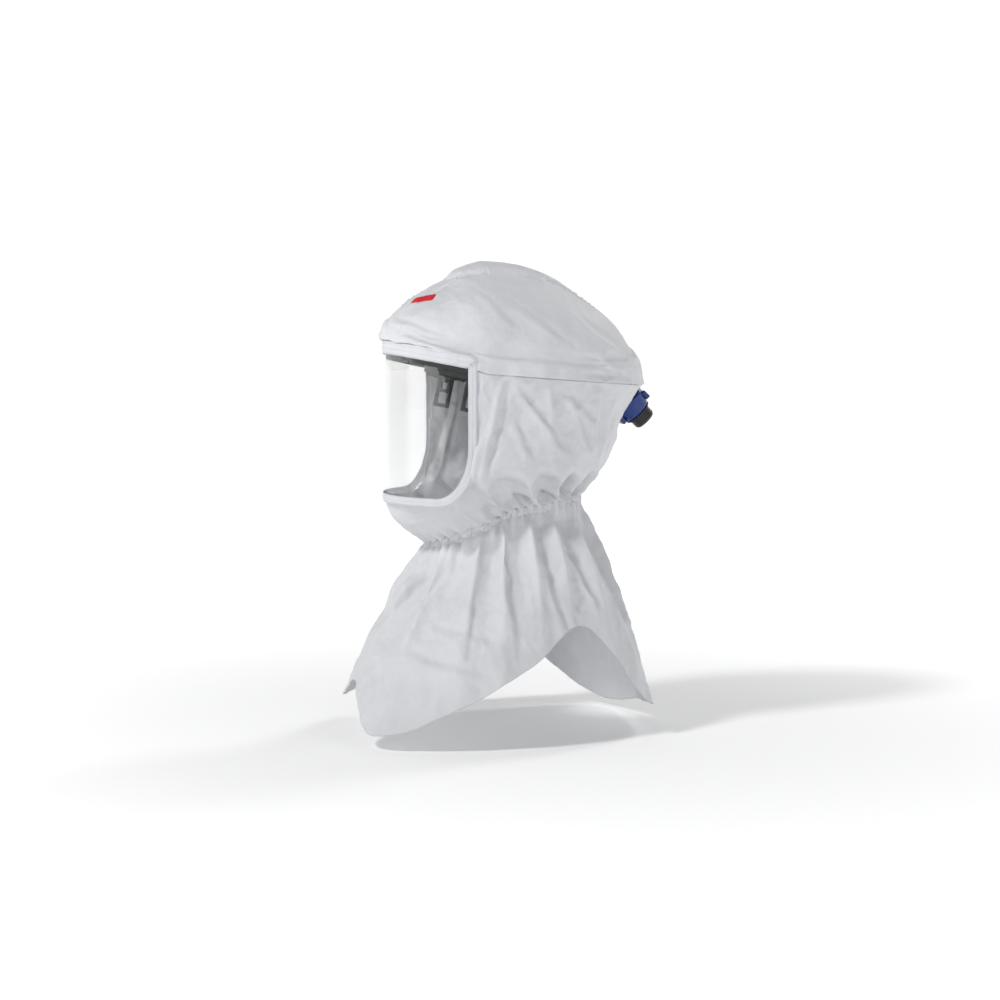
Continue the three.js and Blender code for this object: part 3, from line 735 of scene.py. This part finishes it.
# %% Cape
def make_cape():
    tube, pattern = cloth_tube(240, 48, lambda angle, down: along_rings(CAPE_RINGS, angle, down))
    inside = []
    for face in tube.faces:
        centre = face.calc_center_median()
        around = math.atan2(centre.x / LENS_WIDE, -(centre.y - LENS_MIDDLE_Y) / LENS_DEEP)
        if abs(around) < LENS_ANGLE and lens_bottom(around) - 1 * MM < centre.z < lens_top(around) + 30 * MM:
            inside.append(face)
    bmesh.ops.delete(tube, geom=inside, context="FACES")
    tube.normal_update()
    cut, pins = [], []
    for vert in tube.verts:
        angle, down, _ = vert[pattern]
        near_neck = smoothstep(0.6, 1.0, down)
        side = smoothstep(0.45, 0.9, abs(math.sin(angle / 2)) * 1.2)
        deep = valley(angle, CAPE_RIDGES)
        fine = gather_wave(angle) * 4.0 * MM * smoothstep(0.86, 1.0, down)
        arch = 0.64 + 0.10 * (1 - deep) + 0.05 * jitter(angle, 2.0, 7)
        pocket = smoothstep(arch - 0.10, arch + 0.05, down) * (1 - smoothstep(0.93, 1.0, down))
        swell = smoothstep(0.25, 0.7, down) * (1 - smoothstep(0.86, 1.0, down))
        if not vert.is_boundary:
            vert.co += vert.normal * MM * side * (6 * swell - 24 * deep * pocket)
        vert.co += vert.normal * fine
        spare = 1 + 0.20 * near_neck + 0.03 * smoothstep(0.1, 0.5, down) * (not vert.is_boundary)
        cut.append((vert.co.x * spare, vert.co.y * spare, vert.co.z * 1.05))
        pins.append(1.0 if vert.is_boundary else 0.12)
    cape = add_object("cape_cloth", tube, white_fabric)
    settle(cape, pins, cut, 24, 1.2, 0.7, farthest=9 * MM)
    return cape


cape = make_cape()
refine(cape)

# %% Cape folds
NEAR_FOLDS = [
    (1, -30, 6, -60, -116, 1.3), (1, -12, -8, 48, -86, 1.2), (1, 30, -4, 34, -60, 0.7),
    (1, 50, -18, 94, -58, 1.0), (1, 98, -2, 92, -92, 1.0), (1, 62, -30, 88, -98, 0.7),
    (1, -52, -60, -84, -150, 0.8), (1, 120, -20, 100, -110, 0.8), (1, -20, -48, 8, -104, 0.6)]
FAR_FOLDS = [
    (-1, -34, 0, -62, -110, 1.1), (-1, 0, -2, 62, -76, 1.1), (-1, 40, -10, 84, -80, 0.9),
    (-1, 96, -6, 100, -96, 0.9), (-1, -56, -64, -82, -148, 0.8), (-1, 18, -40, 20, -108, 0.7)]
CHIN_FOLDS = [(side, -128, z, -86, z + 10, 0.55) for side in (1, -1) for z in (-162, -172, -184)]
press_folds(cape, NEAR_FOLDS + FAR_FOLDS, 5 * MM, 3.2 * MM)
press_folds(cape, CHIN_FOLDS, 3 * MM, 1.8 * MM)
crumple(cape, 8.0, 3.6 * MM, 32 * MM)
finish_cloth(cape, 0.5 * MM, "hood_frame", "fabric", "hood_cape")

# %% [markdown]
# ## The skirt
#
# Below the elastic the same cloth opens into a wide skirt. It starts in the same little waves, and the
# stiff nonwoven carries a few broad folds down to a free hem that swings up over each shoulder. The folds
# are shaped, softened by the cloth solver and creased in the same order as the cape's.

# %% Skirt
SKIRT_RIDGES = [10, 34, 62, 78, 96, 113, 134, 158, 186, 212, 236, 262, 284, 306, 332]


def make_skirt():
    tube, pattern = cloth_tube(230, 50, skirt_point)
    tube.normal_update()
    cut, pins = [], []
    for vert in tube.verts:
        angle, down, _ = vert[pattern]
        fine = gather_wave(angle) * 4.0 * (1 - smoothstep(0.0, 0.16, down))
        deep = valley(angle, SKIRT_RIDGES)
        fold = smoothstep(0.02, 0.12, down) * (1 - 0.8 * smoothstep(0.25, 0.85, down))
        corner = math.exp(-((math.degrees(angle) % 360 - 34) / 7) ** 2) * smoothstep(0.2, 0.6, down)
        vert.co += vert.normal * MM * (fine - 16 * deep * fold + 6 * fold + 4 * corner - 5 * down)
        spare = 1 + 0.22 * (1 - smoothstep(0.0, 0.5, down)) + 0.012
        cut.append((vert.co.x * spare, vert.co.y * spare, vert.co.z))
        pins.append(1.0 if down < 0.012 else 0.06 + 0.4 * smoothstep(0.5, 1, down))
    skirt = add_object("skirt_cloth", tube, white_fabric)
    settle(skirt, pins, cut, 24, 1.6, 0.4, farthest=14 * MM)
    return skirt


skirt = make_skirt()
refine(skirt)

# %% Skirt folds
SKIRT_FOLDS = [
    (1, -95, -224, -166, -284, 1.0), (1, -70, -240, -96, -330, 0.9), (1, -34, -200, -28, -330, 0.8),
    (1, 14, -204, 40, -330, 0.9), (1, 44, -196, 92, -286, 0.9), (1, 84, -200, 150, -360, 1.1),
    (1, -150, -330, -60, -352, 0.6), (1, -120, -300, -40, -316, 0.4), (1, -10, -250, 26, -240, 0.4),
    (-1, -90, -220, -160, -300, 1.0), (-1, -40, -204, -50, -330, 0.9), (-1, 10, -204, 22, -300, 0.8),
    (-1, 60, -200, 118, -330, 1.0), (-1, -140, -340, -60, -350, 0.5)]
press_folds(skirt, SKIRT_FOLDS, 6 * MM, 3.4 * MM)
crumple(skirt, 13.0, 4.4 * MM, 44 * MM)
finish_cloth(skirt, 0.5 * MM, "hood_frame", "fabric", "hood_skirt")

# %% [markdown]
# ## The neck gather
#
# Elastic thread is sewn inside a narrow casing that joins the cape and the skirt. It shortens the casing
# into tight little puckers. The casing is a narrow tube of cloth whose waves run on from both sides.

# %% Neck casing
def casing_point(angle, down):
    middle = ring_point(NECK, angle)
    outward = Vector((math.sin(angle), -math.cos(angle), 0))
    tight = 0.5 * math.sin(3 * WAVES * angle + 4 * jitter(angle, 5, 3))
    puff = 2.6 * math.sin(math.pi * down)
    wave = gather_wave(angle) * (3.6 - 1.8 * math.sin(math.pi * down))
    rise = (0.5 - down) * (17 + 3 * jitter(angle, 9, 6))
    return middle + outward * MM * (puff + wave + tight) + Vector((0, 0, rise * MM))


def casing_uv(piece_mesh, pattern, length):
    """Lays the casing out for its stitches: U runs round in metres and V across from 0 to 1."""
    layer = piece_mesh.loops.layers.uv.verify()
    for face in piece_mesh.faces:
        turns = [loop.vert[pattern][0] / (2 * math.pi) for loop in face.loops]
        for loop, turn in zip(face.loops, turns):
            if max(turns) - min(turns) > 0.5 and turn < 0.5:
                turn += 1
            loop[layer].uv = (turn * length, loop.vert[pattern][1])


casing_mesh, casing_pattern = cloth_tube(720, 9, casing_point)
casing_uv(casing_mesh, casing_pattern, 0.56)
casing = add_object("neck_casing", casing_mesh, binding)
finish_cloth(casing, 0.6 * MM, "hood_frame", "fabric", "neck_elastic")

# %% [markdown]
# ## The visor
#
# The visor is a flat sheet of clear film bent round the face. A grid is laid on the bent outline and
# thickened by a millimetre. Its edge is bound to the hood by a folded strip sewn with two rows of
# stitches, swept here round the same outline.

# %% Visor film
def make_visor():
    sheet = bmesh.new()
    sheet.loops.layers.uv.new("UVMap")
    bmesh.ops.create_grid(sheet, x_segments=96, y_segments=40, size=0.5, calc_uvs=True)
    for vert in sheet.verts:
        angle = 2 * vert.co.x * (LENS_ANGLE - math.radians(2))
        low, high = lens_bottom(angle), lens_top(angle)
        height = low + (high - low) * (vert.co.y + 0.5)
        bow = 1.2 * MM * math.sin(math.pi * (vert.co.y + 0.5))
        vert.co = on_cylinder(angle, height, -2.2 * MM + bow)
    bmesh.ops.recalc_face_normals(sheet, faces=sheet.faces)
    visor = add_object("visor_film", sheet, film)
    solid = visor.modifiers.new("thickness", "SOLIDIFY")
    solid.thickness = 1.0 * MM
    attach(visor, "hood_frame")
    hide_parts("visor_lens")
    return visor


visor = make_visor()
print("visor:", len(visor.data.polygons), "faces")

# %% Visor binding
def visor_outline():
    """The lens outline as (angle, height): down the left edge, under the chin, back over the brow."""
    steps = []
    side = LENS_ANGLE
    for i in range(46):
        steps.append((side, lens_top(side) + (CORNER_TOP - lens_top(side)) * i / 46))
    for i in range(24):
        turn = math.pi / 2 * i / 24
        angle = CORNER_ANGLE + (LENS_ANGLE - CORNER_ANGLE) * math.cos(turn)
        steps.append((angle, lens_bottom(angle)))
    for i in range(72):
        steps.append((CORNER_ANGLE * (1 - 2 * i / 72), LENS_BOTTOM))
    steps += [(-angle, height) for angle, height in reversed(steps[1:71])]
    for i in range(96):
        angle = -side + 2 * side * i / 96
        steps.append((angle, lens_top(angle) + 3.5 * MM))
    return steps


def make_binding():
    path = [on_cylinder(angle, height) for angle, height in visor_outline()]
    count = len(path)
    strip = bmesh.new()
    layer = strip.loops.layers.uv.new("UVMap")
    pattern = strip.verts.layers.float_vector.new("pattern")
    bmesh.ops.create_grid(strip, x_segments=count, y_segments=8, size=0.5)
    length = 0.0
    reach = [0.0]
    for i in range(count):
        length += (path[(i + 1) % count] - path[i]).length
        reach.append(length)
    for vert in strip.verts:
        index = round((vert.co.x + 0.5) * count)
        across = vert.co.y
        vert[pattern] = (reach[index], across + 0.5, 0)
        here = path[index % count]
        along = (path[(index + 1) % count] - path[(index - 1) % count]).normalized()
        outward = Vector((here.x / LENS_WIDE ** 2, (here.y - LENS_MIDDLE_Y) / LENS_DEEP ** 2, 0)).normalized()
        aside = outward.cross(along).normalized()
        roll = 2.0 - 9.0 * across ** 4
        wide = (16 if reach[index] > reach[count - 96] else 11) * MM
        pucker = 0.35 * math.sin(reach[index] / (4.2 * MM))
        vert.co = here + aside * across * -wide + outward * (roll + pucker) * MM
    for face in strip.faces:
        for loop in face.loops:
            loop[layer].uv = (loop.vert[pattern].x, loop.vert[pattern].y)
    bmesh.ops.remove_doubles(strip, verts=strip.verts, dist=1e-6)
    bmesh.ops.recalc_face_normals(strip, faces=strip.faces)
    front = min(strip.faces, key=lambda face: face.calc_center_median().y)
    if front.normal.y > 0:
        bmesh.ops.reverse_faces(strip, faces=strip.faces)
    bound = add_object("visor_binding", strip, binding)
    solid = bound.modifiers.new("thickness", "SOLIDIFY")
    solid.thickness = 0.8 * MM
    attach(bound, "hood_frame")
    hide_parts("lens_border")
    return bound


bound_edge = make_binding()
print("binding area:", round(surface_area(bound_edge), 4))

# %% [markdown]
# ## The badge
#
# A plain red patch marks the brow. It is a rounded rectangle laid on the settled cloth: each of its
# points is dropped on to the crown, so it follows the same folds.

# %% Badge
def make_badge(across, tall, centre, facing):
    cloth = bmesh.new()
    cloth.from_mesh(crown.data)
    skin = BVHTree.FromBMesh(cloth)
    cloth.free()
    patch = bmesh.new()
    bmesh.ops.create_grid(patch, x_segments=26, y_segments=12, size=0.5)
    sideways = Vector((0, 0, 1)).cross(facing).normalized()
    upward = facing.cross(sideways).normalized()
    sideways, upward = sideways + upward * 0.3, upward - sideways * 0.3
    corner = 0.32
    for vert in patch.verts:
        u, v = vert.co.x * 2, vert.co.y * 2
        edge = max(0.0, abs(u) - (1 - corner * tall / across)) / (corner * tall / across)
        squeeze = 1 - corner * (1 - math.sqrt(max(0.0, 1 - edge * edge)))
        flat = centre + sideways * u * across / 2 + upward * v * squeeze * tall / 2
        spot, normal, _, _ = skin.ray_cast(flat + facing * 0.05, -facing)
        vert.co = flat if spot is None else spot + normal * 0.7 * MM
    bmesh.ops.recalc_face_normals(patch, faces=patch.faces)
    middle_face = patch.faces[:][len(patch.faces) // 2]
    if middle_face.normal.dot(facing) < 0:
        bmesh.ops.reverse_faces(patch, faces=patch.faces)
    badge = add_object("brow_badge", patch, red_film)
    solid = badge.modifiers.new("thickness", "SOLIDIFY")
    solid.thickness = 0.5 * MM
    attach(badge, "hood_frame")
    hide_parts("brow_patch")
    return badge


low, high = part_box("brow_patch")
badge_centre = (low + high) / 2
badge_facing = Vector((badge_centre.x, badge_centre.y + 0.035, 0.062)).normalized()
badge = make_badge(0.031, 0.012, badge_centre, badge_facing)

# %% [markdown]
# ## Pads
#
# The brow, crown and nape pads are foam in thin cloth. A copy of each CAD solid is remeshed into an
# even skin, shrunk a little and blown up by the cloth solver, which rounds its edges as stuffing does.

# %% Pads
def copy_node(name, new_name):
    """A welded copy of a CAD node in a new object."""
    shape = bmesh.new()
    shape.from_mesh(bpy.data.objects[name].data)
    bmesh.ops.remove_doubles(shape, verts=shape.verts, dist=1e-5)
    mesh = bpy.data.meshes.new(new_name)
    shape.to_mesh(mesh)
    shape.free()
    mesh.materials.clear()
    piece = bpy.data.objects.new(new_name, mesh)
    bpy.context.scene.collection.objects.link(piece)
    return piece


def make_pad(node, name, body, voxel):
    pad = copy_node(node, name)
    remesh = pad.modifiers.new("remesh", "REMESH")
    remesh.mode = "VOXEL"
    remesh.voxel_size = voxel
    even = bpy.data.meshes.new_from_object(pad.evaluated_get(bpy.context.evaluated_depsgraph_get()))
    pad.modifiers.clear()
    pad.data = even
    shift_along_normals(pad, lambda point: -0.8 * MM)
    even.materials.clear()
    even.materials.append(pad_cloth)
    rest = coordinates(even).copy()
    settle(pad, [0.06] * len(even.vertices), rest, 14, 0.6, 0.0, air=3.0, farthest=2.0 * MM)
    refine(pad)
    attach(pad, body)
    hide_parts(node)
    print(name, len(pad.data.polygons), "faces")
    return pad


brow_pad = make_pad("brow_pad", "brow_cushion", "harness", 2.4 * MM)
crown_cushion = make_pad("crown_pad", "crown_cushion", "crown_pad", 2.4 * MM)
nape_pad = make_pad("nape_pad", "nape_cushion", "nape_unit", 2.2 * MM)

# %% [markdown]
# ## Straps
#
# Two webbing legs carry the crown pad and two springy arms run back to the ratchet. In the real headtop both
# bend when their far end moves; here each is a welded copy of its CAD solid with bevelled edges.

# %% Straps
def make_strap(node, name, material):
    strap = copy_node(node, name)
    shape = bmesh.new()
    shape.from_mesh(strap.data)
    sharp = [edge for edge in shape.edges if len(edge.link_faces) == 2 and edge.calc_face_angle() > 0.8]
    bmesh.ops.bevel(shape, geom=sharp, offset=0.4 * MM, offset_type="OFFSET", affect="EDGES",
                    segments=2, profile=0.5, material=-1)
    layer = shape.loops.layers.uv.verify()
    for face in shape.faces:
        for loop in face.loops:
            loop[layer].uv = (loop.vert.co.y, loop.vert.co.z)
    shape.to_mesh(strap.data)
    shape.free()
    strap.data.materials.append(material)
    for polygon in strap.data.polygons:
        polygon.use_smooth = False
    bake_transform(strap)
    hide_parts(node)
    return strap


for side, name in ((1, "left"), (-1, "right")):
    make_strap(f"strap_leg_{name}", f"crown_strap_{name}", webbing)
    make_strap(f"rear_arm_{name}", f"nape_arm_{name}", black_plastic)
print("straps ready")

# %% [markdown]
# ## Finishes for the rigid pieces
#
# The moulded pieces keep their CAD shape. Welding their loose triangles lets them shade smoothly, and a
# narrow bevel catches the light along each edge, as a moulded radius does.

# %% Finishes by piece
FINISHES = {
    black_plastic: ("headband_front", "front_bow", "lug_left", "lug_right", "strap_clip_left",
                    "strap_clip_right", "temple_bracket_left", "temple_bracket_right", "air_deflector",
                    "ratchet_housing", "ratchet_cover"),
    grey_plastic: ("duct_base", "duct_lid", "ratchet_pinion"),
    dark_plastic: ("rack_left", "rack_right", "ratchet_knob", "swivel_collar", "inlet_clamp_ring"),
    blue_plastic: ("inlet_housing", "release_tab_upper", "release_tab_lower"),
    rubber: ("inlet_seal",),
    steel: ("lug_cap_left", "lug_cap_right", "bow_rivet_left", "bow_rivet_right")}


def dress(name, material, edge):
    node = bpy.data.objects[name]
    node.material_slots[0].material = material
    for polygon in node.data.polygons:
        polygon.use_smooth = True
    weld = node.modifiers.new("weld", "WELD")
    weld.merge_threshold = 1e-5
    bevel = node.modifiers.new("soft_edge", "BEVEL")
    bevel.width = edge
    bevel.segments = 2
    bevel.limit_method = "ANGLE"
    bevel.angle_limit = math.radians(32)
    bevel.harden_normals = True


for material, names in FINISHES.items():
    for name in names:
        dress(name, material, 0.3 * MM)
print("rigid pieces:", sum(len(names) for names in FINISHES.values()))
